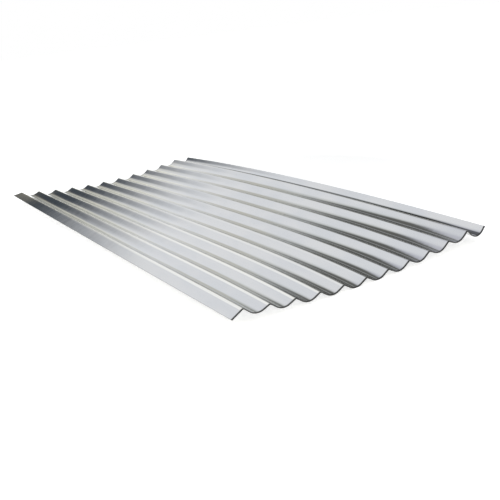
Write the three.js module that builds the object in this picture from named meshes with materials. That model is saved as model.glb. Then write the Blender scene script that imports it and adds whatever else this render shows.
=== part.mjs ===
// Corrugated metal sheet: a roofing and cladding sheet rolled from one flat strip of zinc coated steel.
//
// Frame: +X runs along the corrugations, +Y across them and +Z up. The sheet lies as it rests unheld on a
// level floor. The origin is on the floor, under the middle of the sheet's bounding box.
//
// The sheet is one solid. Its section is a row of crests and troughs: each is an arc, and a straight flank
// joins each arc to the next one. The first flank forms the lip that laps the neighbouring sheet, and it is
// turned down more steeply towards the +X end. A thin sheet isn't stiff across its corrugations, so the
// section also sags along a wide arc, and the whole sheet arches a little along its length.

import * as THREE from 'three';

// Driving dimensions, in millimetres. Angles are in degrees.
const sheetLength = 1828.8;
const sheetThickness = 2;

// The corrugations, measured on the middle surface of the metal. The crests are bent tighter than the
// troughs. The outer flute lies between the last two crests, and it is deeper than the others.
const pitch = 76.2;
const crestCount = 12;
const waveDepth = 15.5;
const outerFluteDepth = 27.5;
const crestRadius = 10;
const troughRadius = 26.5;

// The lip is the flat beyond the first crest. Its angle is lipAngle at mid length, more by lipTwist at the
// +X end and less by lipTwist at the -X end. The other long edge stops short of the last crest's top.
const lipAngle = 29;
const lipTwist = 10;
const lipFlat = 35.5;
const farEdgeSetback = 7.5;

// The sheet sags across its width on an arc of bowRadius. Beyond the last crest but one, the outer flute
// is unsupported and droops the other way, on an arc of droopRadius.
const bowRadius = 2270;
const droopRadius = 262;

// Height of the middle of each long edge above the ends of that edge. Below zero, the edge hangs.
const lipCamber = -0.2;
const farCamber = 18.4;

// How finely the solid is faceted: about how far an arc turns in each facet, and the facets in the length.
// Their odd number leaves a level facet at the middle of the length.
const facetAngle = 12;
const lengthFacets = 9;

// A crest's arc meets a trough's with no flat left between them where the mean of their two radii is
// largest: it can't be more in a flute of that depth.
const quarterPitch = pitch / 4;

function largestMeanRadius(depth) {
  return (quarterPitch ** 2 + (depth / 2) ** 2) / depth;
}

const largestCrestRadius = Math.min(largestMeanRadius(waveDepth), largestMeanRadius(outerFluteDepth));
const crestBend = Math.min(crestRadius, largestCrestRadius);

// The trough's radius in a flute, and the lean of its straight flanks. With the mean radius r, an arc and
// half a flank together go a quarter of the pitch across and half of the depth down. So
// quarterPitch * sin(lean) + (r - depth / 2) * cos(lean) = r.
function fluteShape(depth) {
  const troughBend = Math.min(troughRadius, 2 * largestMeanRadius(depth) - crestBend);
  const meanRadius = (crestBend + troughBend) / 2;
  const excess = meanRadius - depth / 2;
  const leanSine = Math.min(meanRadius / Math.hypot(quarterPitch, excess), 1);
  return { depth, troughBend, lean: Math.asin(leanSine) - Math.atan2(excess, quarterPitch) };
}

const innerFlute = fluteShape(waveDepth);
const outerFlute = fluteShape(outerFluteDepth);

// Lean of the lip's flat at mid length.
const lipLean = THREE.MathUtils.degToRad(lipAngle);

// Positions of the folds across the sheet, as distances from the first crest.
const middleCrest = Math.round(crestCount / 2 - 1) * pitch;
const droopStart = (crestCount - 2) * pitch;
const farEdge = (crestCount - 1) * pitch - farEdgeSetback;

// Every crest's top is as high above the base line.
const crestHeight = waveDepth / 2;

// The arc on top of a crest. Its side is 1, and a trough's is -1.
function crestArc(crest) {
  return { side: 1, radius: crestBend, across: crest * pitch, height: crestHeight };
}

// The arc at the bottom of the flute that follows a crest.
function troughArc(crest, flute) {
  return {
    side: -1,
    radius: flute.troughBend,
    across: (crest + 0.5) * pitch,
    height: crestHeight - flute.depth,
  };
}

// Points along an arc. Each has its distance across the sheet, its height in the wave and the slope of the
// metal there. The number of facets is odd, which leaves a flat facet at the middle of the arc.
function arcPoints(arc, fromAngle, toAngle) {
  const turn = THREE.MathUtils.radToDeg(toAngle - fromAngle);
  const facets = 2 * Math.round((turn / facetAngle - 1) / 2) + 1;
  const points = [];
  for (let i = 0; i <= facets; i += 1) {
    const angle = THREE.MathUtils.lerp(fromAngle, toAngle, i / facets);
    points.push({
      across: arc.across + arc.radius * Math.sin(angle),
      height: arc.height - arc.side * arc.radius * (1 - Math.cos(angle)),
      slope: -arc.side * angle,
    });
  }
  return points;
}

// The free edge of the lip, at the foot of the flat that runs down from the first crest.
function lipEdgePoint(lean) {
  return {
    across: -crestBend * Math.sin(lean) - lipFlat * Math.cos(lean),
    height: crestHeight - crestBend * (1 - Math.cos(lean)) - lipFlat * Math.sin(lean),
    slope: lean,
  };
}

// The part of a path that lies before a distance across, cut off square at that distance.
function trimmedPath(path, limit) {
  const next = path.findIndex((point) => point.across >= limit);
  const before = path[next - 1];
  const after = path[next];
  const share = (limit - before.across) / (after.across - before.across);
  const cutPoint = {
    across: limit,
    height: THREE.MathUtils.lerp(before.height, after.height, share),
    slope: THREE.MathUtils.lerp(before.slope, after.slope, share),
  };
  return [...path.slice(0, next), cutPoint];
}

// The middle surface of the metal on a straight base line, from the lip to the far edge.
function wavePath() {
  const path = [lipEdgePoint(lipLean)];
  let leanIn = lipLean;
  for (let crest = 0; crest < crestCount - 1; crest += 1) {
    const flute = crest < crestCount - 2 ? innerFlute : outerFlute;
    path.push(...arcPoints(crestArc(crest), -leanIn, flute.lean));
    path.push(...arcPoints(troughArc(crest, flute), -flute.lean, flute.lean));
    leanIn = flute.lean;
  }
  path.push(...arcPoints(crestArc(crestCount - 1), -leanIn, leanIn));
  return trimmedPath(path, farEdge);
}

// A point and heading on an arc, after going along it for some distance. Turning up is positive.
function alongArc(start, distance, curvature) {
  const heading = start.heading + distance * curvature;
  return {
    y: start.y + (Math.sin(heading) - Math.sin(start.heading)) / curvature,
    z: start.z + (Math.cos(start.heading) - Math.cos(heading)) / curvature,
    heading,
  };
}

// The sagging base line of the section: the bow about the middle crest, then the droop of the outer flute.
function bowLine(across) {
  const lowest = { y: 0, z: 0, heading: 0 };
  if (across <= droopStart) {
    return alongArc(lowest, across - middleCrest, 1 / bowRadius);
  }
  const turn = alongArc(lowest, droopStart - middleCrest, 1 / bowRadius);
  return alongArc(turn, across - droopStart, -1 / droopRadius);
}

// One face of the section: the wave laid on the bow line, moved sideways through the metal by an offset.
function faceLine(path, offset) {
  return path.map((point) => {
    const base = bowLine(point.across);
    const faceHeading = base.heading + point.slope;
    return new THREE.Vector2(
      base.y - point.height * Math.sin(base.heading) - offset * Math.sin(faceHeading),
      base.z + point.height * Math.cos(base.heading) + offset * Math.cos(faceHeading),
    );
  });
}

// Outline of the cut end: along the top face and back along the underside.
function sectionShape() {
  const path = wavePath();
  const topFace = faceLine(path, sheetThickness / 2);
  const underside = faceLine(path, -sheetThickness / 2);
  return new THREE.Shape([...underside, ...topFace.reverse()]);
}

// Turn the lip about the axis of the first crest's arc, so that the arc grows or shrinks on its own circle.
// The turn is full from the start of the flat and fades to nothing at the top of the crest.
function twistLip(geometry) {
  geometry.computeBoundingBox();
  const { min, max } = geometry.boundingBox;
  const base = bowLine(0);
  const up = new THREE.Vector2(-Math.sin(base.heading), Math.cos(base.heading));
  const axis = new THREE.Vector2(base.y, base.z).addScaledVector(up, crestHeight - crestBend);
  const position = geometry.attributes.position;
  for (let i = 0; i < position.count; i += 1) {
    const arm = new THREE.Vector2(position.getY(i), position.getZ(i)).sub(axis);
    const fromTop = Math.atan2(up.cross(arm), up.dot(arm));
    const share = THREE.MathUtils.clamp(fromTop / lipLean, 0, 1);
    const twist = THREE.MathUtils.mapLinear(position.getX(i), min.x, max.x, -lipTwist, lipTwist);
    arm.rotateAround(new THREE.Vector2(), THREE.MathUtils.degToRad(twist) * share).add(axis);
    position.setY(i, arm.x);
    position.setZ(i, arm.y);
  }
}

// Arch the sheet along its length. The rise at mid length goes evenly from one long edge to the other.
function archLengthwise(geometry) {
  geometry.computeBoundingBox();
  const { min, max } = geometry.boundingBox;
  const position = geometry.attributes.position;
  for (let i = 0; i < position.count; i += 1) {
    const fromMiddle = THREE.MathUtils.mapLinear(position.getX(i), min.x, max.x, -1, 1);
    const rise = THREE.MathUtils.mapLinear(position.getY(i), min.y, max.y, lipCamber, farCamber);
    position.setZ(i, position.getZ(i) + rise * (1 - fromMiddle ** 2));
  }
}

// The section is drawn in the XY plane and extruded along Z, then turned so that it is drawn in YZ.
function sheetGeometry() {
  const geometry = new THREE.ExtrudeGeometry(sectionShape(), {
    depth: sheetLength,
    steps: lengthFacets,
    bevelEnabled: false,
  });
  const acrossAxis = new THREE.Vector3(0, 1, 0);
  const upAxis = new THREE.Vector3(0, 0, 1);
  const lengthAxis = new THREE.Vector3(1, 0, 0);
  geometry.applyMatrix4(new THREE.Matrix4().makeBasis(acrossAxis, upAxis, lengthAxis));
  twistLip(geometry);
  archLengthwise(geometry);

  geometry.computeBoundingBox();
  const middle = geometry.boundingBox.getCenter(new THREE.Vector3());
  geometry.translate(-middle.x, -middle.y, -geometry.boundingBox.min.z);
  geometry.computeVertexNormals();
  return geometry;
}

const zincCoatedSteel = new THREE.MeshStandardMaterial({
  name: 'zinc_coated_steel',
  color: 0xc6c9cc,
  roughness: 0.35,
  metalness: 0.9,
});

const sheet = new THREE.Mesh(sheetGeometry(), zincCoatedSteel);
sheet.name = 'corrugated_sheet';

const corrugatedSheet = new THREE.Group();
corrugatedSheet.add(sheet);

export default corrugatedSheet;
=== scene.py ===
# %% [markdown]
# # A corrugated metal sheet
#
# A thin strip of zinc coated steel has been rolled into even round waves. It is one piece of metal: there
# is no frame, no screw and no hole. What makes it look real is therefore the exact form of the waves, the
# slow bends of a thin sheet that lies unheld, and what the bright metal mirrors.
#
# The imported part is loaded first. It is the fixed frame: the new surface takes its length from the part's
# box.

# %% Load the imported part
import math

import bpy
import numpy as np
from mathutils import Matrix, Vector


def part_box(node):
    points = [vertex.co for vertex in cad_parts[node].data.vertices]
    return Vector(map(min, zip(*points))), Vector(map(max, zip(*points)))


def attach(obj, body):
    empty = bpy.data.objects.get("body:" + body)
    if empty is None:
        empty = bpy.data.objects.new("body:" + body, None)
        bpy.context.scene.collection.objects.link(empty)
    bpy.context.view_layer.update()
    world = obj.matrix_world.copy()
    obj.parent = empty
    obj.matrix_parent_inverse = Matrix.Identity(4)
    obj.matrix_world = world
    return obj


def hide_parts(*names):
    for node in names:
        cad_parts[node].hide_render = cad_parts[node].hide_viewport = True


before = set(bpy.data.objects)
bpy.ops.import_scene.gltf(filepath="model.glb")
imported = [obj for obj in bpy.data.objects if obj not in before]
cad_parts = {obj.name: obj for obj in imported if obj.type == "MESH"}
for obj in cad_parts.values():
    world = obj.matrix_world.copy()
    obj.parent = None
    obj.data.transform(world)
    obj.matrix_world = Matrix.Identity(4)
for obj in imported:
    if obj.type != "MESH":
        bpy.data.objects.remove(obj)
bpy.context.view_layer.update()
sheet_low, sheet_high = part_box("corrugated_sheet")
print("box of the part in metres:", [round(v, 4) for v in (*sheet_low, *sheet_high)])

# %% [markdown]
# ## The sizes of the sheet
#
# A roll former's drawing gives the pitch, the depth and the bend radii of the waves, and the two edges. The
# crests are bent tightly and the troughs widely. The last flute is deeper than the others.
#
# The other sizes describe how the loose sheet lies. It sags across its waves, its outer flute droops, it
# arches along its length, and its middle crests bulge up. Sizes are in metres and radians, and the
# bulge's width is a share of the sheet's. The length comes from the box of the part.

# %% Sizes
MM = 0.001

SHEET_LENGTH = sheet_high.x - sheet_low.x
THICKNESS = 2 * MM
PITCH = 76.2 * MM
CREST_COUNT = 12
WAVE_DEPTH = 15.3 * MM
LAST_FLUTE_DEPTH = 27.5 * MM
CREST_RADIUS = 5 * MM
TROUGH_RADIUS = 40 * MM
LAST_TROUGH_RADIUS = 31 * MM

LIP_ANGLE = math.radians(29)
LIP_TWIST = math.radians(10)
LIP_FLAT = 35.4 * MM
FAR_EDGE_SETBACK = 5.5 * MM

BOW_RADIUS = 2270 * MM
DROOP_RADIUS = 262 * MM
LIP_CAMBER = -0.2 * MM
FAR_CAMBER = 18.1 * MM
BULGE = 11 * MM
BULGE_WIDTH = 0.92

print("length", round(SHEET_LENGTH, 4), "m, crests", CREST_COUNT)

# %% [markdown]
# ## The wave of the section
#
# Seen from its end, the sheet is a row of arcs joined by straight flanks. The lean of a flank follows
# from the pitch, the depth and the bend radii, because the two arcs and the flank between them go half a
# pitch across and the whole depth down. Bezier curves drawn by eye would never repeat so evenly, so the
# wave is worked out from those sizes.

# %% Lean of the flanks


def flank_lean(depth, trough_radius):
    """Lean of the flanks of a flute: asin(r / hypot(q, r - h)) - atan2(r - h, q).

    Here r is the mean of the two bend radii, q a quarter of the pitch and h half of the depth.
    """
    mean_radius = (CREST_RADIUS + trough_radius) / 2
    excess = mean_radius - depth / 2
    return math.asin(mean_radius / math.hypot(PITCH / 4, excess)) - math.atan2(excess, PITCH / 4)


FLANK_LEAN = flank_lean(WAVE_DEPTH, TROUGH_RADIUS)
LAST_LEAN = flank_lean(LAST_FLUTE_DEPTH, LAST_TROUGH_RADIUS)
print("flanks lean", [round(math.degrees(lean), 2) for lean in (FLANK_LEAN, LAST_LEAN)], "degrees")

# %% [markdown]
# ## The folds
#
# Each crest and each trough is one fold of the metal. A Bevel could round a zigzag too, but with the same
# radius everywhere. Here all folds are worked out together, as the rows of one array, because they differ
# only in their radius, their height and the lean on each side.

# %% Arcs of the folds
HALF_DEPTH = WAVE_DEPTH / 2
ARC_STEPS = 10


def fold_arcs():
    """Points on the arcs of all folds, one row for each fold, with crests and troughs in turn.

    Across = fold + radius * sin(angle).
    Height = top or bottom of the fold - side * radius * (1 - cos(angle)).
    The side is 1 on a crest and -1 in a trough. The metal slopes by minus side times the angle.
    """
    number = np.arange(2 * CREST_COUNT - 1)
    is_crest = number % 2 == 0
    in_last_flute = number >= len(number) - 2
    leaves_steeply = number >= len(number) - 3
    side = np.where(is_crest, 1, -1)
    trough_radius = np.where(in_last_flute, LAST_TROUGH_RADIUS, TROUGH_RADIUS)
    radius = np.where(is_crest, CREST_RADIUS, trough_radius)
    depth_below_crest = np.where(in_last_flute, LAST_FLUTE_DEPTH, WAVE_DEPTH)
    extreme = HALF_DEPTH - np.where(is_crest, 0, depth_below_crest)
    lean_in = -np.where(in_last_flute, LAST_LEAN, FLANK_LEAN)
    lean_in[0] = -LIP_ANGLE
    lean_out = np.where(leaves_steeply, LAST_LEAN, FLANK_LEAN)
    angle = np.linspace(lean_in, lean_out, ARC_STEPS + 1, axis=1)
    across = (number * PITCH / 2)[:, None] + radius[:, None] * np.sin(angle)
    height = extreme[:, None] - (side * radius)[:, None] * (1 - np.cos(angle))
    return np.stack([across, height, -side[:, None] * angle], axis=-1)


FOLDS = fold_arcs()
print("folds:", len(FOLDS), "with", FOLDS.shape[1], "points each")

# %% [markdown]
# ## From edge to edge
#
# The folds become one path when straight flanks are put between them and the flat lip before them. The far
# edge is cut off a little before the top of the last crest. A Blender curve could join them too, but the
# rows of an array keep the slope of the metal beside each point, and both faces are later set off square to
# that slope.

# %% Path of the metal
FLAT_STEPS = 4


def lip_flat(lean):
    """Points on the straight lip, from its free edge up to where the first crest's arc starts.

    The arc starts radius * sin(lean) before the crest and radius * (1 - cos(lean)) below its top. From
    there a point lies its distance along the flat times cos(lean) further out, and times sin(lean) lower.
    """
    out = LIP_FLAT * (1 - np.arange(FLAT_STEPS) / FLAT_STEPS)
    across = -CREST_RADIUS * np.sin(lean) - out * np.cos(lean)
    height = HALF_DEPTH - CREST_RADIUS * (1 - np.cos(lean)) - out * np.sin(lean)
    return np.stack([across, height, np.full_like(out, lean)], axis=-1)


def with_flats(arcs):
    """Joins rows of arcs into one path: end of an arc * (1 - share) + start of the next one * share."""
    share = (np.arange(1, FLAT_STEPS) / FLAT_STEPS)[None, :, None]
    flats = arcs[:-1, -1:, :] * (1 - share) + arcs[1:, :1, :] * share
    joined = np.concatenate([arcs[:-1], flats], axis=1).reshape(-1, 3)
    return np.concatenate([joined, arcs[-1]])


def wave_path():
    """The middle of the metal on a straight base line: rows of (across, height, slope), lip edge first.

    It ends FAR_EDGE_SETBACK before the last crest, at a point between the two nearest ones.
    """
    path = np.concatenate([lip_flat(LIP_ANGLE), with_flats(FOLDS)])
    far_edge = (CREST_COUNT - 1) * PITCH - FAR_EDGE_SETBACK
    kept = path[path[:, 0] < far_edge]
    height, slope = (np.interp(far_edge, path[:, 0], path[:, column]) for column in (1, 2))
    return np.vstack([kept, [far_edge, height, slope]])


PATH = wave_path()
flat_width = np.linalg.norm(np.diff(PATH[:, :2], axis=0), axis=1).sum()
print("points across the sheet:", len(PATH), "and width before rolling:", round(flat_width, 3), "m")

# %% [markdown]
# ## The bow and the droop
#
# Waves make a sheet stiff along its length but not across it, so it sags between its long edges. The base
# line of the section is an arc, and the outer flute, which nothing carries, bends the other way. A
# lattice modifier could bend a straight sheet too, but a formula keeps the thickness and the wave exact.

# %% Section on its base line
MIDDLE_CREST = round(CREST_COUNT / 2 - 1) * PITCH
DROOP_START = (CREST_COUNT - 2) * PITCH


def bow_line(across):
    """Points (y, z) and heading of the sagging base line, after going a distance across.

    On an arc, the heading is the distance times the curvature, y grows by the change of sin(heading) over
    the curvature, and z by the change of minus cos(heading) over it.
    """
    heading = (across - MIDDLE_CREST) / BOW_RADIUS
    y = BOW_RADIUS * np.sin(heading)
    z = BOW_RADIUS * (1 - np.cos(heading))
    turn = (DROOP_START - MIDDLE_CREST) / BOW_RADIUS
    droop = turn - (across - DROOP_START) / DROOP_RADIUS
    y_droop = BOW_RADIUS * np.sin(turn) + DROOP_RADIUS * (np.sin(turn) - np.sin(droop))
    z_droop = BOW_RADIUS * (1 - np.cos(turn)) + DROOP_RADIUS * (np.cos(droop) - np.cos(turn))
    drooping = across > DROOP_START
    return (
        np.where(drooping, y_droop, y),
        np.where(drooping, z_droop, z),
        np.where(drooping, droop, heading),
    )


def section_face(offset):
    """One face of the section as (y, z) rows.

    A point is the base line plus the wave height along the base line's normal, plus the offset along the
    metal's own normal.
    """
    base_y, base_z, heading = bow_line(PATH[:, 0])
    face_heading = heading + PATH[:, 2]
    y = base_y - PATH[:, 1] * np.sin(heading) - offset * np.sin(face_heading)
    z = base_z + PATH[:, 1] * np.cos(heading) + offset * np.cos(face_heading)
    return np.stack([y, z], axis=-1)


print("width of the top face:", round(float(np.ptp(section_face(THICKNESS / 2)[:, 0])), 3), "m")

# %% [markdown]
# ## The twist of the lip
#
# The lip is a long free strip, so it doesn't keep one angle. It hangs more steeply at the +X end than at
# the -X end. A Simple Deform modifier would twist the whole sheet. The twist below turns only the lip. It
# turns it about the centre of the first crest's arc, so that the arc stays round.

# %% Twist of the lip


def twist_lip(points, share_along):
    """Turns the lip about the axis of the first crest's arc, down towards +X and up towards -X.

    A point's turn is LIP_TWIST times the share along, from -1 to 1, times its own share. That is its angle
    down from the top of the crest over the angle where the flat starts, and no more than 1.
    """
    base_y, base_z, heading = bow_line(np.zeros(1))
    up_y, up_z = -np.sin(heading), np.cos(heading)
    axis_y = base_y + (HALF_DEPTH - CREST_RADIUS) * up_y
    axis_z = base_z + (HALF_DEPTH - CREST_RADIUS) * up_z
    arm_y = points[..., 1] - axis_y
    arm_z = points[..., 2] - axis_z
    from_top = np.arctan2(up_y * arm_z - up_z * arm_y, up_y * arm_y + up_z * arm_z)
    turn = LIP_TWIST * share_along[:, None] * np.clip(from_top / LIP_ANGLE, 0, 1)
    points[..., 1] = axis_y + arm_y * np.cos(turn) - arm_z * np.sin(turn)
    points[..., 2] = axis_z + arm_y * np.sin(turn) + arm_z * np.cos(turn)


lip_angles = [round(math.degrees(LIP_ANGLE + LIP_TWIST * end)) for end in (-1, 1)]
print("the lip leans", lip_angles[0], "degrees at the -X end and", lip_angles[1], "at the +X end")

# %% [markdown]
# ## The arch and the bulge
#
# Along its length the sheet keeps a slight arch from the roll former, which is highest at the far edge
# and next to nothing at the lip. The middle crests also stand a little above that arch, most of all
# between the middle and the +X end. Sculpting could do it, but a dent from a brush would show in metal this
# bright. Bends this slow hardly alter the outline, and yet they move every reflection.

# %% Arch along the length
BULGE_PEAK = 1.41


def arch_lengthwise(points, share_along):
    """Lifts the middle of the length by rise * (1 - share along squared), and adds the bulge.

    The rise goes evenly from the lip edge's camber to the far edge's. With u for the share along and q
    for the share of the bulge's width, the bulge is BULGE * (1 - u^4) (1 + u) / BULGE_PEAK * 4 q (1 - q),
    and never less than 0. It is highest about halfway from the middle to the +X end, where
    (1 - u^4) (1 + u) comes to BULGE_PEAK, and nothing at both cut ends.
    """
    y = points[..., 1]
    share_across = (y - y.min()) / (y.max() - y.min())
    rise = LIP_CAMBER + (FAR_CAMBER - LIP_CAMBER) * share_across
    points[..., 2] += rise * (1 - share_along[:, None] ** 2)
    bulge_across = share_across / BULGE_WIDTH
    bulge_along = (1 - share_along**4) * (1 + share_along) / BULGE_PEAK
    points[..., 2] += BULGE * bulge_along[:, None] * np.clip(4 * bulge_across * (1 - bulge_across), 0, None)


print("far edge arches by", round(FAR_CAMBER, 4), "m and the middle crests bulge by", round(BULGE, 4), "m")

# %% [markdown]
# ## The sheet's points
#
# Both faces are grids over the same two parameters, the distance along and the distance across. The mesh is
# far finer than the faceted part, because bright metal shows every facet. A Subdivision Surface over that
# part would smooth it too, but it would flatten the bends and round the cut edges off.

# %% Grids of both faces
LENGTH_STEPS = 96


def sheet_grids():
    """Points of the top face and of the underside, as grids of rows along and columns across.

    x is the share along, from -1 to 1, times half of the length. y and z are the section's face, which is
    then twisted and arched. At last all points move so that the box stands on z = 0 with its middle over
    x = y = 0.
    """
    share_along = np.linspace(-1, 1, LENGTH_STEPS + 1)
    grids = np.empty((2, len(share_along), len(PATH), 3))
    grids[..., 0] = share_along[:, None] * SHEET_LENGTH / 2
    grids[0, ..., 1:] = section_face(THICKNESS / 2)
    grids[1, ..., 1:] = section_face(-THICKNESS / 2)
    twist_lip(grids, share_along)
    arch_lengthwise(grids, share_along)
    points = grids.reshape(-1, 3)
    centre = (points.min(axis=0) + points.max(axis=0)) / 2
    points -= [centre[0], centre[1], points[:, 2].min()]
    return grids


GRIDS = sheet_grids()
print("points of the sheet:", GRIDS.size // 3)

# %% [markdown]
# ## The sheet's faces
#
# Four narrow strips close the cut ends and the long edges, so that the sheet is one closed skin with
# faces that point outwards. A Solidify modifier would make the underside too, but it follows the normals
# of the mesh, which are less exact than the formula where the metal bends tightly.

# %% Faces of the skin and of the cut edges


def grid_faces(rows, columns, first, flip):
    """Quads of a grid whose points are numbered row by row from first. Flipped, they wind the other way.

    A quad joins a point, the one in the next row, that one's neighbour and the point's own neighbour.
    """
    corner = first + np.arange(rows - 1)[:, None] * columns + np.arange(columns - 1)[None, :]
    quads = np.stack([corner, corner + columns, corner + columns + 1, corner + 1], axis=-1).reshape(-1, 4)
    return quads[:, ::-1] if flip else quads


def strip_faces(top_rim, under_rim):
    """Quads between two rows of point numbers, wound so that they face right of the way the rows run."""
    return np.stack([top_rim[:-1], under_rim[:-1], under_rim[1:], top_rim[1:]], axis=-1)


def skin_faces(rows, columns):
    """The top face's quads and then the underside's, which wind the other way."""
    top = grid_faces(rows, columns, 0, flip=False)
    underside = grid_faces(rows, columns, rows * columns, flip=True)
    return np.concatenate([top, underside])


def edge_faces(rows, columns):
    """The strips of the two cut ends and the two long edges, taken round the sheet."""
    top_number = np.arange(rows * columns).reshape(rows, columns)
    under_number = top_number + rows * columns
    strips = [
        strip_faces(top_number[0, ::-1], under_number[0, ::-1]),
        strip_faces(top_number[-1], under_number[-1]),
        strip_faces(top_number[:, 0], under_number[:, 0]),
        strip_faces(top_number[::-1, -1], under_number[::-1, -1]),
    ]
    return np.concatenate(strips)


SKIN = skin_faces(*GRIDS.shape[1:3])
EDGES = edge_faces(*GRIDS.shape[1:3])
print("faces of the skin:", len(SKIN), "and of the cut edges:", len(EDGES))

# %% [markdown]
# ## The sheet as a mesh
#
# The cut edges get a second material, and sharp edges keep them crisp beside the smooth skin. Each point
# also remembers how many pitches across the sheet it lies, so that painted highlight and shade lines can
# follow the waves.

# %% Build the mesh
SHARP_ANGLE = math.radians(40)
ACROSS_ATTRIBUTE = "pitches_across"


def sheet_mesh(name):
    """The closed sheet: material 0 on its skin, 1 on its cut edges, and each point's pitches across."""
    faces = np.concatenate([SKIN, EDGES])
    is_edge = np.arange(len(faces)) >= len(SKIN)
    mesh = bpy.data.meshes.new(name)
    mesh.from_pydata(GRIDS.reshape(-1, 3).tolist(), [], faces.tolist())
    mesh.polygons.foreach_set("material_index", is_edge.astype(np.int32))
    mesh.polygons.foreach_set("use_smooth", np.ones(len(faces), dtype=bool))
    mesh.update()
    mesh.set_sharp_from_angle(angle=SHARP_ANGLE)
    pitches = np.broadcast_to(PATH[:, 0] / PITCH, GRIDS.shape[:3])
    across = mesh.attributes.new(ACROSS_ATTRIBUTE, "FLOAT", "POINT")
    across.data.foreach_set("value", pitches.astype(np.float32).ravel())
    return mesh


sheet = bpy.data.objects.new("galvanised_sheet", sheet_mesh("galvanised_sheet"))
bpy.context.scene.collection.objects.link(sheet)
print("sheet faces:", len(sheet.data.polygons))

# %% [markdown]
# ## Helpers for materials
#
# Three small functions keep the node trees short: a soft step, one sum of two numbers, and a blend of two
# colours. The zinc, the soft box and the room all use them.

# %% Small helpers for nodes


def smooth_step(nodes, links, value, centre, width):
    """0 below the centre minus half the width, 1 above it plus half, and 3t^2 - 2t^3 in between."""
    step = nodes.new("ShaderNodeMapRange")
    step.interpolation_type = "SMOOTHSTEP"
    step.inputs["From Min"].default_value = centre - width / 2
    step.inputs["From Max"].default_value = centre + width / 2
    links.new(value, step.inputs["Value"])
    return step.outputs["Result"]


def calculate(nodes, links, operation, first, second=0.0):
    """One Math node. Each operand is a socket or a number, and some operations use only the first."""
    node = nodes.new("ShaderNodeMath")
    node.operation = operation
    for socket, operand in zip(node.inputs, (first, second)):
        if isinstance(operand, (int, float)):
            socket.default_value = operand
        else:
            links.new(operand, socket)
    return node.outputs["Value"]


def blend_colours(nodes, links, share, first, second):
    """First colour * (1 - share) + second colour * share. Each colour is a socket or three numbers."""
    node = nodes.new("ShaderNodeMix")
    node.data_type = "RGBA"
    links.new(share, node.inputs["Factor"])
    for socket, colour in ((node.inputs["A"], first), (node.inputs["B"], second)):
        if isinstance(colour, tuple):
            socket.default_value = (*colour, 1)
        else:
            links.new(colour, socket)
    return node.outputs["Result"]


print("helpers for nodes:", [helper.__name__ for helper in (smooth_step, calculate, blend_colours)])

# %% [markdown]
# ## Zinc
#
# Smooth hot-dip zinc is a bright, slightly soft mirror. It isn't even: its grey and its gloss vary a little
# from place to place. A picture texture would repeat or stretch, so noise on Object coordinates makes these
# marks, and it is drawn out along the sheet or across it, as the rolls leave them.

# %% New materials and stretched noise


def new_material(name):
    """An empty node material, its nodes, its links and its Principled shader."""
    material = bpy.data.materials.new(name)
    material.use_nodes = True
    nodes = material.node_tree.nodes
    return material, nodes, material.node_tree.links, nodes["Principled BSDF"]


def stretched_noise(nodes, links, coordinates, stretch, scale, detail):
    """Noise on the coordinates times stretch: a smaller number on an axis makes longer marks along it."""
    mapping = nodes.new("ShaderNodeMapping")
    mapping.inputs["Scale"].default_value = stretch
    links.new(coordinates, mapping.inputs["Vector"])
    noise = nodes.new("ShaderNodeTexNoise")
    noise.inputs["Scale"].default_value = scale
    noise.inputs["Detail"].default_value = detail
    links.new(mapping.outputs["Vector"], noise.inputs["Vector"])
    return noise.outputs["Fac"]


print("helpers for materials:", [helper.__name__ for helper in (new_material, stretched_noise)])

# %% [markdown]
# ## Painted lines that follow the waves
#
# A painted highlight runs just before the crests near the lip, and a line of painted shade runs low on the
# far side of the deep last flute. The two follow the waves exactly, which no pattern on Object coordinates
# could do on a bent sheet. So they read the attribute of the mesh.

# %% Painted highlight lines and the painted shade line
# Painted highlight: the strips just before the crests are made lighter, as a reflection would make them.
PAINTED_HIGHLIGHT_ZINC = (0.89, 0.88, 0.835)
# Painted shade: the line low in the deep last flute is made darker, as a dark reflection would make it.
PAINTED_SHADE_ZINC = (0.14, 0.145, 0.15)

# Each edge of a line is its middle and its width, in pitches: past a crest for the painted highlight lines,
# and past the first crest for the rest.
HIGHLIGHT_FROM = (-0.08, 0.04)
HIGHLIGHT_TO = (0.005, 0.02)
HIGHLIGHT_CRESTS = (4.0, 4.5)
SHADE_LINE_FROM = (10.52, 0.06)
SHADE_LINE_TO = (10.72, 0.05)


def pitches_across(nodes):
    """The distance past the first crest in pitches, from the attribute of the mesh."""
    across = nodes.new("ShaderNodeAttribute")
    across.attribute_name = ACROSS_ATTRIBUTE
    return across.outputs["Fac"]


def line_share(nodes, links, place, from_edge, to_edge):
    """1 between two soft edges and 0 outside: the step at the first edge minus the step at the second."""
    begun = smooth_step(nodes, links, place, *from_edge)
    ended = smooth_step(nodes, links, place, *to_edge)
    return calculate(nodes, links, "SUBTRACT", begun, ended)


def painted_highlight_share(nodes, links):
    """1 on the painted highlight strip just before a crest, fading from the lip to the middle crests.

    The distance past the nearest crest is fract(pitches across + 0.5) - 0.5. On the strip it is just
    below 0.
    """
    across = pitches_across(nodes)
    shifted = calculate(nodes, links, "ADD", across, 0.5)
    past_crest = calculate(nodes, links, "SUBTRACT", calculate(nodes, links, "FRACT", shifted), 0.5)
    strip = line_share(nodes, links, past_crest, HIGHLIGHT_FROM, HIGHLIGHT_TO)
    faded = smooth_step(nodes, links, across, *HIGHLIGHT_CRESTS)
    near_lip = calculate(nodes, links, "SUBTRACT", 1.0, faded)
    return calculate(nodes, links, "MULTIPLY", near_lip, strip)


def painted_shade_line_share(nodes, links):
    """1 on a narrow line of painted shade low on the far side of the deep last flute."""
    return line_share(nodes, links, pitches_across(nodes), SHADE_LINE_FROM, SHADE_LINE_TO)


# The dull line printed here is the line of painted shade.
print("the dull line is", round((SHADE_LINE_TO[0] - SHADE_LINE_FROM[0]) * PITCH, 4), "m wide")

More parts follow.
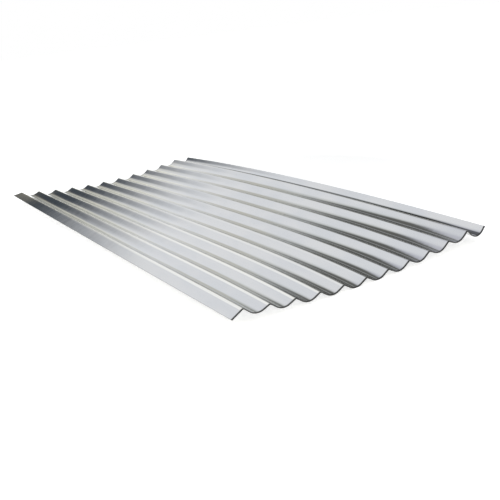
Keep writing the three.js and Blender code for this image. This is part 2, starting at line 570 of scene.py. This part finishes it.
# %% [markdown]
# ## Painted shade at the cut ends, and marks of the rolls
#
# A dull dark margin along both cut ends is painted shade, which widens the dark line of the cut edge. The
# rolls leave the sheet slightly wavy, with a fine chatter across it and a finer grain along it. The
# waviness is less than a millimetre deep and the other marks far less. They show only in the reflections,
# so they are relief in the material.

# %% Margins and relief
END_SHADE_MARGIN = (SHEET_LENGTH / 2 - 4.2 * MM, 2 * MM)

# Each mark is how its noise is stretched, the noise's scale, and how deep the mark is.
WAVINESS = ((0.5, 1.6, 1.6), 9.0, 1.2 * MM)
CHATTER = ((1.0, 0.12, 0.12), 38.0, 0.22 * MM)
GRAIN = ((0.05, 1.0, 1.0), 900.0, 0.012 * MM)
MARK_DETAIL = 2.0


def end_shade_share(nodes, links, coordinates):
    """1 on the painted shade margin along both cut ends: a step over the distance to the middle of the
    length.
    """
    place = nodes.new("ShaderNodeSeparateXYZ")
    links.new(coordinates, place.inputs["Vector"])
    from_middle = calculate(nodes, links, "ABSOLUTE", place.outputs["X"])
    return smooth_step(nodes, links, from_middle, *END_SHADE_MARGIN)


def rolled_relief(nodes, links, coordinates, shader):
    """Bends the reflections by three Bump nodes in a row, each with the noise and the depth of one mark."""
    normal = None
    for stretch, scale, depth in (WAVINESS, CHATTER, GRAIN):
        height = stretched_noise(nodes, links, coordinates, stretch, scale, MARK_DETAIL)
        bump = nodes.new("ShaderNodeBump")
        bump.inputs["Distance"].default_value = depth
        links.new(height, bump.inputs["Height"])
        if normal is not None:
            links.new(normal, bump.inputs["Normal"])
        normal = bump.outputs["Normal"]
    links.new(normal, shader.inputs["Normal"])


print("the margin starts", round(SHEET_LENGTH / 2 - END_SHADE_MARGIN[0], 4), "m from each cut end")

# %% [markdown]
# ## The zinc, put together
#
# The colour is built up in layers: close greys in soft clouds, then the painted highlight lines and the
# painted shade line, and then the painted shade on the margins at the cut ends. The gloss has long streaks,
# and the margins are duller.

# %% Zinc material
ZINC_SHADES = ((0.67, 0.68, 0.69), (0.72, 0.72, 0.715))
# Painted shade on the margins along both cut ends.
PAINTED_END_SHADE = (0.07, 0.07, 0.068)

CLOUD_STRETCH = (1.0, 2.5, 2.5)
CLOUD_SCALE = 5.0
CLOUD_EDGE = (0.5, 0.3)
STREAK_STRETCH = (0.6, 14.0, 14.0)
STREAK_SCALE = 6.0
SOFT_DETAIL = 4.0
ROUGHNESS_FROM = 0.06
ROUGHNESS_TO = 0.11
END_SHADE_ROUGHNESS = 0.35


def zinc_colour(nodes, links, coordinates, end_shade):
    """Greys by the clouds, then a blend to each colour of painted highlight and shade by its share."""
    clouds = stretched_noise(nodes, links, coordinates, CLOUD_STRETCH, CLOUD_SCALE, SOFT_DETAIL)
    mottled = blend_colours(nodes, links, smooth_step(nodes, links, clouds, *CLOUD_EDGE), *ZINC_SHADES)
    highlighted = blend_colours(nodes, links, painted_highlight_share(nodes, links), mottled, PAINTED_HIGHLIGHT_ZINC)
    shade_lined = blend_colours(nodes, links, painted_shade_line_share(nodes, links), highlighted, PAINTED_SHADE_ZINC)
    return blend_colours(nodes, links, end_shade, shade_lined, PAINTED_END_SHADE)


def zinc_roughness(nodes, links, coordinates, end_shade):
    """ROUGHNESS_FROM to ROUGHNESS_TO by the streaks, plus END_SHADE_ROUGHNESS on the margins."""
    streaks = stretched_noise(nodes, links, coordinates, STREAK_STRETCH, STREAK_SCALE, SOFT_DETAIL)
    gloss = nodes.new("ShaderNodeMapRange")
    gloss.inputs["To Min"].default_value = ROUGHNESS_FROM
    gloss.inputs["To Max"].default_value = ROUGHNESS_TO
    links.new(streaks, gloss.inputs["Value"])
    dulled = calculate(nodes, links, "MULTIPLY", end_shade, END_SHADE_ROUGHNESS)
    return calculate(nodes, links, "ADD", gloss.outputs["Result"], dulled)


def zinc_material():
    """Bright metal with the zinc's colour, roughness and relief."""
    material, nodes, links, shader = new_material("bright_zinc")
    coordinates = nodes.new("ShaderNodeTexCoord").outputs["Object"]
    # The margins along the cut ends carry painted shade and more roughness.
    end_shade = end_shade_share(nodes, links, coordinates)
    links.new(zinc_colour(nodes, links, coordinates, end_shade), shader.inputs["Base Color"])
    links.new(zinc_roughness(nodes, links, coordinates, end_shade), shader.inputs["Roughness"])
    rolled_relief(nodes, links, coordinates, shader)
    shader.inputs["Metallic"].default_value = 1.0
    return material


zinc = zinc_material()
sheet.data.materials.append(zinc)
print("zinc nodes:", len(zinc.node_tree.nodes))

# %% [markdown]
# ## Cut steel
#
# A shear leaves the steel bare and dull on all four cut edges, with a fine grain. Their near-black tone is
# partly that dull steel and partly painted shade, which makes the thin edge read as a dark line. A mask on
# the zinc could show it, but the cut edges have faces of their own. So they get a second material, and the
# line between the two stays sharp.

# %% Cut edge material
# Near-black cut edge: partly dull bare steel, partly painted shade.
CUT_STEEL_AND_SHADE = ((0.025, 0.025, 0.025), (0.075, 0.075, 0.07))
CUT_GRAIN_STRETCH = (1.0, 1.0, 1.0)
CUT_GRAIN_SCALE = 900.0
CUT_METALLIC = 0.4
CUT_ROUGHNESS = 0.6


def cut_steel_material():
    """Dull metal, dark partly as painted shade: a blend of two dark greys by a fine noise."""
    material, nodes, links, shader = new_material("cut_steel")
    coordinates = nodes.new("ShaderNodeTexCoord").outputs["Object"]
    grain = stretched_noise(nodes, links, coordinates, CUT_GRAIN_STRETCH, CUT_GRAIN_SCALE, MARK_DETAIL)
    links.new(blend_colours(nodes, links, grain, *CUT_STEEL_AND_SHADE), shader.inputs["Base Color"])
    shader.inputs["Metallic"].default_value = CUT_METALLIC
    shader.inputs["Roughness"].default_value = CUT_ROUGHNESS
    return material


sheet.data.materials.append(cut_steel_material())
print("materials:", [material.name for material in sheet.data.materials])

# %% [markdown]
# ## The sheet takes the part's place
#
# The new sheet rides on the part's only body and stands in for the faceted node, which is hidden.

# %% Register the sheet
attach(sheet, "root")
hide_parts("corrugated_sheet")
print("registered", sheet.name)

# %% [markdown]
# ## The studio
#
# Metal shows its surroundings more than its own colour, so the room is part of the look. A wide soft box
# hangs close above the sheet. It ends softly behind the sheet and beyond its -X end, and the ceiling past
# it is darker: that draws the dark lines along the troughs and darkens the flanks at that end. A world
# image at an infinite distance would give every wave the same reflection. A panel this near gives each
# wave its own, which is why it is a real surface of the scene. The camera doesn't see it.

# %% Level pieces of the studio


def level_square(name, x_range, y_range, height, material):
    """A level rectangle that is part of the studio, not of the sheet."""
    (x0, x1), (y0, y1) = x_range, y_range
    corners = [(x0, y0, height), (x1, y0, height), (x1, y1, height), (x0, y1, height)]
    mesh = bpy.data.meshes.new(name)
    mesh.from_pydata(corners, [], [(0, 1, 2, 3)])
    mesh.materials.append(material)
    square = bpy.data.objects.new(name, mesh)
    bpy.context.scene.collection.objects.link(square)
    return square


print("helper for the studio:", level_square.__name__)

# %% [markdown]
# ## The soft box and the ceiling
#
# The soft box's light is even in the middle. It fades over about half a metre at its back edge and over
# more than a metre towards the -X end, as light does through a graded cloth.
#
# The ceiling isn't even either. Behind the soft box it is cream at the -X end and grey further along. A
# slanting edge takes it from grey to black, and past the middle of the sheet it is pale. A weak strip light
# runs along the back of it. Beyond the -X end, in front of the cream part, it is nearly black.

# %% Light of the ceiling
SOFT_BOX_LIGHT = (0.927, 0.943, 0.975)
END_CEILING = (0.061, 0.073, 0.088)
CREAM_CEILING = (0.56, 0.55, 0.475)
GREY_CEILING = (0.65, 0.672, 0.66)
BLACK_CEILING = (0.145, 0.147, 0.137)
PALE_CEILING = (0.67, 0.68, 0.745)
STRIP_LIGHT = (0.82, 0.84, 0.9)
STRIP_SHARE = 0.45

# Each edge is its middle and its width in metres, along x or y. Where it has a slant, it is taken on that
# coordinate minus the slant times the other one.
BACK_EDGE = (0.3, 0.5)
BACK_EDGE_SLANT = -0.337
END_EDGE = (-2.379, 2.164)
END_EDGE_SLANT = -1.224
CREAM_EDGE = (0.254, 0.144)
GREY_EDGE = (-1.439, 0.712)
BLACK_EDGE = (0.605, 0.574)
BLACK_EDGE_SLANT = -1.6
PALE_EDGE = (0.078, 0.3)
STRIP_FROM = (1.36, 0.25)
STRIP_TO = (1.65, 0.25)

print("soft box over black ceiling:", round(SOFT_BOX_LIGHT[1] / BLACK_CEILING[1], 1), "times as bright")

# %% [markdown]
# ## Layers of the ceiling
#
# The ceiling is built up as a painter would do it: each colour covers the last one past a soft edge. Where
# an edge runs at a slant, it is taken on x and y together.

# %% Soft edges of the ceiling


def slanted(nodes, links, value, other, slant):
    """The value minus slant times the other coordinate, so that an edge on it runs at a slant."""
    return calculate(nodes, links, "SUBTRACT", value, calculate(nodes, links, "MULTIPLY", other, slant))


def ceiling_light(nodes, links, x, y):
    """The ceiling round the soft box: each colour laid over the last by a soft step on x, y or a slant."""
    past_cream_edge = smooth_step(nodes, links, y, *CREAM_EDGE)
    past_grey_edge = smooth_step(nodes, links, x, *GREY_EDGE)
    past_black_edge = smooth_step(nodes, links, slanted(nodes, links, x, y, BLACK_EDGE_SLANT), *BLACK_EDGE)
    past_pale_edge = smooth_step(nodes, links, x, *PALE_EDGE)
    cream = blend_colours(nodes, links, past_cream_edge, END_CEILING, CREAM_CEILING)
    grey = blend_colours(nodes, links, past_grey_edge, cream, GREY_CEILING)
    black = blend_colours(nodes, links, past_black_edge, grey, BLACK_CEILING)
    pale = blend_colours(nodes, links, past_pale_edge, black, PALE_CEILING)
    in_strip = line_share(nodes, links, y, STRIP_FROM, STRIP_TO)
    strip_share = calculate(nodes, links, "MULTIPLY", in_strip, STRIP_SHARE)
    return blend_colours(nodes, links, strip_share, pale, STRIP_LIGHT)


def soft_box_share(nodes, links, x, y):
    """1 under the soft box, past its end edge and before its back edge: step * (1 - step)."""
    from_end = smooth_step(nodes, links, slanted(nodes, links, x, y, END_EDGE_SLANT), *END_EDGE)
    behind = smooth_step(nodes, links, slanted(nodes, links, y, x, BACK_EDGE_SLANT), *BACK_EDGE)
    return calculate(nodes, links, "MULTIPLY", from_end, calculate(nodes, links, "SUBTRACT", 1.0, behind))


print("helpers for the ceiling:", [helper.__name__ for helper in (slanted, ceiling_light, soft_box_share)])

# %% [markdown]
# ## The ceiling as a panel
#
# One level rectangle carries both the soft box and the ceiling, and its material glows by place. An area
# lamp would have hard edges and one colour.

# %% Soft box
CEILING_HEIGHT = 0.9
CEILING_X = (-3.5, 1.5)
CEILING_Y = (-1.2, 2.4)


def soft_box_material():
    """Each place glows by its own x and y: ceiling * (1 - share) + soft box * share."""
    material = bpy.data.materials.new("soft_box_and_ceiling")
    material.use_nodes = True
    nodes = material.node_tree.nodes
    links = material.node_tree.links
    nodes.clear()
    place = nodes.new("ShaderNodeSeparateXYZ")
    links.new(nodes.new("ShaderNodeTexCoord").outputs["Object"], place.inputs["Vector"])
    x, y = place.outputs["X"], place.outputs["Y"]
    in_box = soft_box_share(nodes, links, x, y)
    glow = nodes.new("ShaderNodeEmission")
    light = blend_colours(nodes, links, in_box, ceiling_light(nodes, links, x, y), SOFT_BOX_LIGHT)
    links.new(light, glow.inputs["Color"])
    output = nodes.new("ShaderNodeOutputMaterial")
    links.new(glow.outputs["Emission"], output.inputs["Surface"])
    return material


soft_box = level_square("soft_box", CEILING_X, CEILING_Y, CEILING_HEIGHT, soft_box_material())
soft_box.visible_camera = False
print("the soft box hangs", CEILING_HEIGHT, "m above the floor")

# %% [markdown]
# ## The room around it
#
# Past the soft box the sheet mirrors the walls, which are far enough away to be a world. A white backdrop
# stands behind the floor, a few degrees high. The walls are dark just above the backdrop and brighter
# than it from about 13 degrees up, and a dark flag stands beyond the -X end of the sheet. Seen directly,
# the room is white all over, so that a view from low down has a plain background too.

# %% Walls, flag and backdrop
# Each stop is a height angle in degrees and the light of the walls there.
WALL_STOPS = [
    (3, (0.03, 0.03, 0.03)),
    (9, (0.52, 0.533, 0.49)),
    (15, (1.27, 1.25, 1.11)),
    (24, (1.3, 1.28, 1.2)),
]
FLAG_LIGHT = (0.01, 0.01, 0.01)
BACKDROP_LIGHT = (1.0, 1.0, 1.0)

# Each edge is its middle and its width in degrees: of bearing from -X towards +Y for the flag's two
# sides, and of height for its top and the backdrop's.
FLAG_FROM = (-60, 20)
FLAG_TO = (14.6, 22.3)
FLAG_TOP = (20.3, 8)
BACKDROP_TOP = (4.5, 2)


def sky_angles(nodes, links):
    """Bearing and height angle in degrees: atan2(y, -x) and asin(z) of the direction."""
    split = nodes.new("ShaderNodeSeparateXYZ")
    links.new(nodes.new("ShaderNodeTexCoord").outputs["Generated"], split.inputs["Vector"])
    backwards = calculate(nodes, links, "MULTIPLY", split.outputs["X"], -1.0)
    bearing = calculate(nodes, links, "ARCTAN2", split.outputs["Y"], backwards)
    height = calculate(nodes, links, "ARCSINE", split.outputs["Z"])
    return [calculate(nodes, links, "MULTIPLY", angle, math.degrees(1)) for angle in (bearing, height)]


print("the flag is", round(FLAG_TO[0] - FLAG_FROM[0]), "degrees wide and", FLAG_TOP[0], "degrees high")

# %% [markdown]
# ## The light of the room
#
# The walls come first, the flag is laid over them, and low down the backdrop takes the place of both. A
# world holds no surfaces, so each of them is a soft step on the two angles.

# %% World


def walls_light(nodes, links, height):
    """The light between two stops goes evenly from one to the other, and stays the same past the last."""
    walls = WALL_STOPS[0][1]
    for (low, _), (high, colour) in zip(WALL_STOPS[:-1], WALL_STOPS[1:]):
        share = nodes.new("ShaderNodeMapRange")
        share.inputs["From Min"].default_value = low
        share.inputs["From Max"].default_value = high
        links.new(height, share.inputs["Value"])
        walls = blend_colours(nodes, links, share.outputs["Result"], walls, colour)
    return walls


def flag_share(nodes, links, bearing, height):
    """1 between the flag's two sides and below its top: (step - step) * (1 - step), and never below 0."""
    beside = line_share(nodes, links, bearing, FLAG_FROM, FLAG_TO)
    above = smooth_step(nodes, links, height, *FLAG_TOP)
    flag = calculate(nodes, links, "MULTIPLY", beside, calculate(nodes, links, "SUBTRACT", 1.0, above))
    return calculate(nodes, links, "MAXIMUM", flag, 0.0)


def walls_share(nodes, links, height):
    """1 above the backdrop, except in what the camera sees directly: step * (1 - is camera ray)."""
    above_backdrop = smooth_step(nodes, links, height, *BACKDROP_TOP)
    seen_directly = nodes.new("ShaderNodeLightPath").outputs["Is Camera Ray"]
    not_seen = calculate(nodes, links, "SUBTRACT", 1.0, seen_directly)
    return calculate(nodes, links, "MULTIPLY", above_backdrop, not_seen)


def studio_world():
    """The walls with the flag laid over them, and the backdrop in place of both below them."""
    world = bpy.data.worlds.new("studio")
    world.use_nodes = True
    nodes = world.node_tree.nodes
    links = world.node_tree.links
    bearing, height = sky_angles(nodes, links)
    walls = walls_light(nodes, links, height)
    light = blend_colours(nodes, links, flag_share(nodes, links, bearing, height), walls, FLAG_LIGHT)
    seen = blend_colours(nodes, links, walls_share(nodes, links, height), BACKDROP_LIGHT, light)
    links.new(seen, nodes["Background"].inputs["Color"])
    return world


bpy.context.scene.world = studio_world()
print("world:", bpy.context.scene.world.name)

# %% [markdown]
# ## The floor
#
# A matt white floor. Seen directly or in the metal it is lifted to white by a glow that lights nothing
# else. More light would do that too, but it would wash out the metal. Near the sheet the floor is lifted
# less, so that it keeps the sheet's shadow.

# %% Floor
FLOOR_HALF = 20.0
FLOOR_RANGE = (-FLOOR_HALF, FLOOR_HALF)
FLOOR_GREY = 0.9
FLOOR_ROUGHNESS = 0.9
FLOOR_LIFT = 0.46
FLOOR_LIFT_EDGE = (1.1, 0.4)


def floor_lift(nodes, links):
    """1 away from the middle of the sheet and FLOOR_LIFT near it, by a step over the distance to it."""
    from_middle = nodes.new("ShaderNodeVectorMath")
    from_middle.operation = "LENGTH"
    links.new(nodes.new("ShaderNodeTexCoord").outputs["Object"], from_middle.inputs[0])
    far_away = smooth_step(nodes, links, from_middle.outputs["Value"], *FLOOR_LIFT_EDGE)
    return calculate(nodes, links, "MAXIMUM", far_away, FLOOR_LIFT)


def floor_material():
    """White, with a glow that only direct, mirrored and transmitted views of it receive."""
    material, nodes, links, shader = new_material("white_floor")
    shader.inputs["Base Color"].default_value = (FLOOR_GREY, FLOOR_GREY, FLOOR_GREY, 1)
    shader.inputs["Roughness"].default_value = FLOOR_ROUGHNESS
    shader.inputs["Specular IOR Level"].default_value = 0.0
    shader.inputs["Emission Color"].default_value = (1, 1, 1, 1)
    path = nodes.new("ShaderNodeLightPath").outputs
    mirrored = calculate(nodes, links, "MAXIMUM", path["Is Glossy Ray"], path["Is Transmission Ray"])
    seen = calculate(nodes, links, "MAXIMUM", path["Is Camera Ray"], mirrored)
    glow = calculate(nodes, links, "MULTIPLY", seen, floor_lift(nodes, links))
    links.new(glow, shader.inputs["Emission Strength"])
    return material


level_square("studio_floor", FLOOR_RANGE, FLOOR_RANGE, 0.0, floor_material())
print("floor:", 2 * FLOOR_HALF, "m wide")

# %% [markdown]
# ## The camera
#
# The camera stands beyond one corner of the sheet, a little above it, and is tipped slightly. It could be
# aimed by hand, but a few numbers are easier to read and to change: the point that it looks at, its
# bearing, its height angle, its tip and its distance.

# %% Camera
VIEW_AZIMUTH = math.radians(59.15)
VIEW_ELEVATION = math.radians(18.269)
VIEW_TIP = math.radians(-6.121)
LOOK_AT = Vector((0.43474, -0.07503, 0.0))
VIEW_DISTANCE = 2.25056
CLIP_DISTANCE = 100
FRAME_PIXELS = 500
FOCAL_PIXELS = 725.25
SENSOR_MM = 36


def make_camera():
    """Camera whose back, right and up axes come from the bearing, the height angle and the tip.

    Back is (sin(bearing) cos(height), -cos(bearing) cos(height), sin(height)). Right starts level and up
    square to it, and the tip turns both about back. The lens is the focal length over the frame's width,
    both in pixels, times the sensor's width.
    """
    back = Vector(
        (
            math.sin(VIEW_AZIMUTH) * math.cos(VIEW_ELEVATION),
            -math.cos(VIEW_AZIMUTH) * math.cos(VIEW_ELEVATION),
            math.sin(VIEW_ELEVATION),
        )
    )
    level_right = (-back).cross(Vector((0, 0, 1))).normalized()
    level_up = level_right.cross(-back)
    right = math.cos(VIEW_TIP) * level_right + math.sin(VIEW_TIP) * level_up
    up = -math.sin(VIEW_TIP) * level_right + math.cos(VIEW_TIP) * level_up
    camera_data = bpy.data.cameras.new("camera")
    camera_data.sensor_width = SENSOR_MM
    camera_data.lens = FOCAL_PIXELS / FRAME_PIXELS * SENSOR_MM
    camera_data.clip_end = CLIP_DISTANCE
    camera = bpy.data.objects.new("camera", camera_data)
    turn = Matrix((right, up, back)).transposed().to_4x4()
    camera.matrix_world = Matrix.Translation(LOOK_AT + back * VIEW_DISTANCE) @ turn
    bpy.context.scene.collection.objects.link(camera)
    bpy.context.scene.camera = camera
    return camera


camera = make_camera()
bpy.context.scene.view_settings.view_transform = "Standard"
print("camera lens:", round(camera.data.lens, 2), "mm")
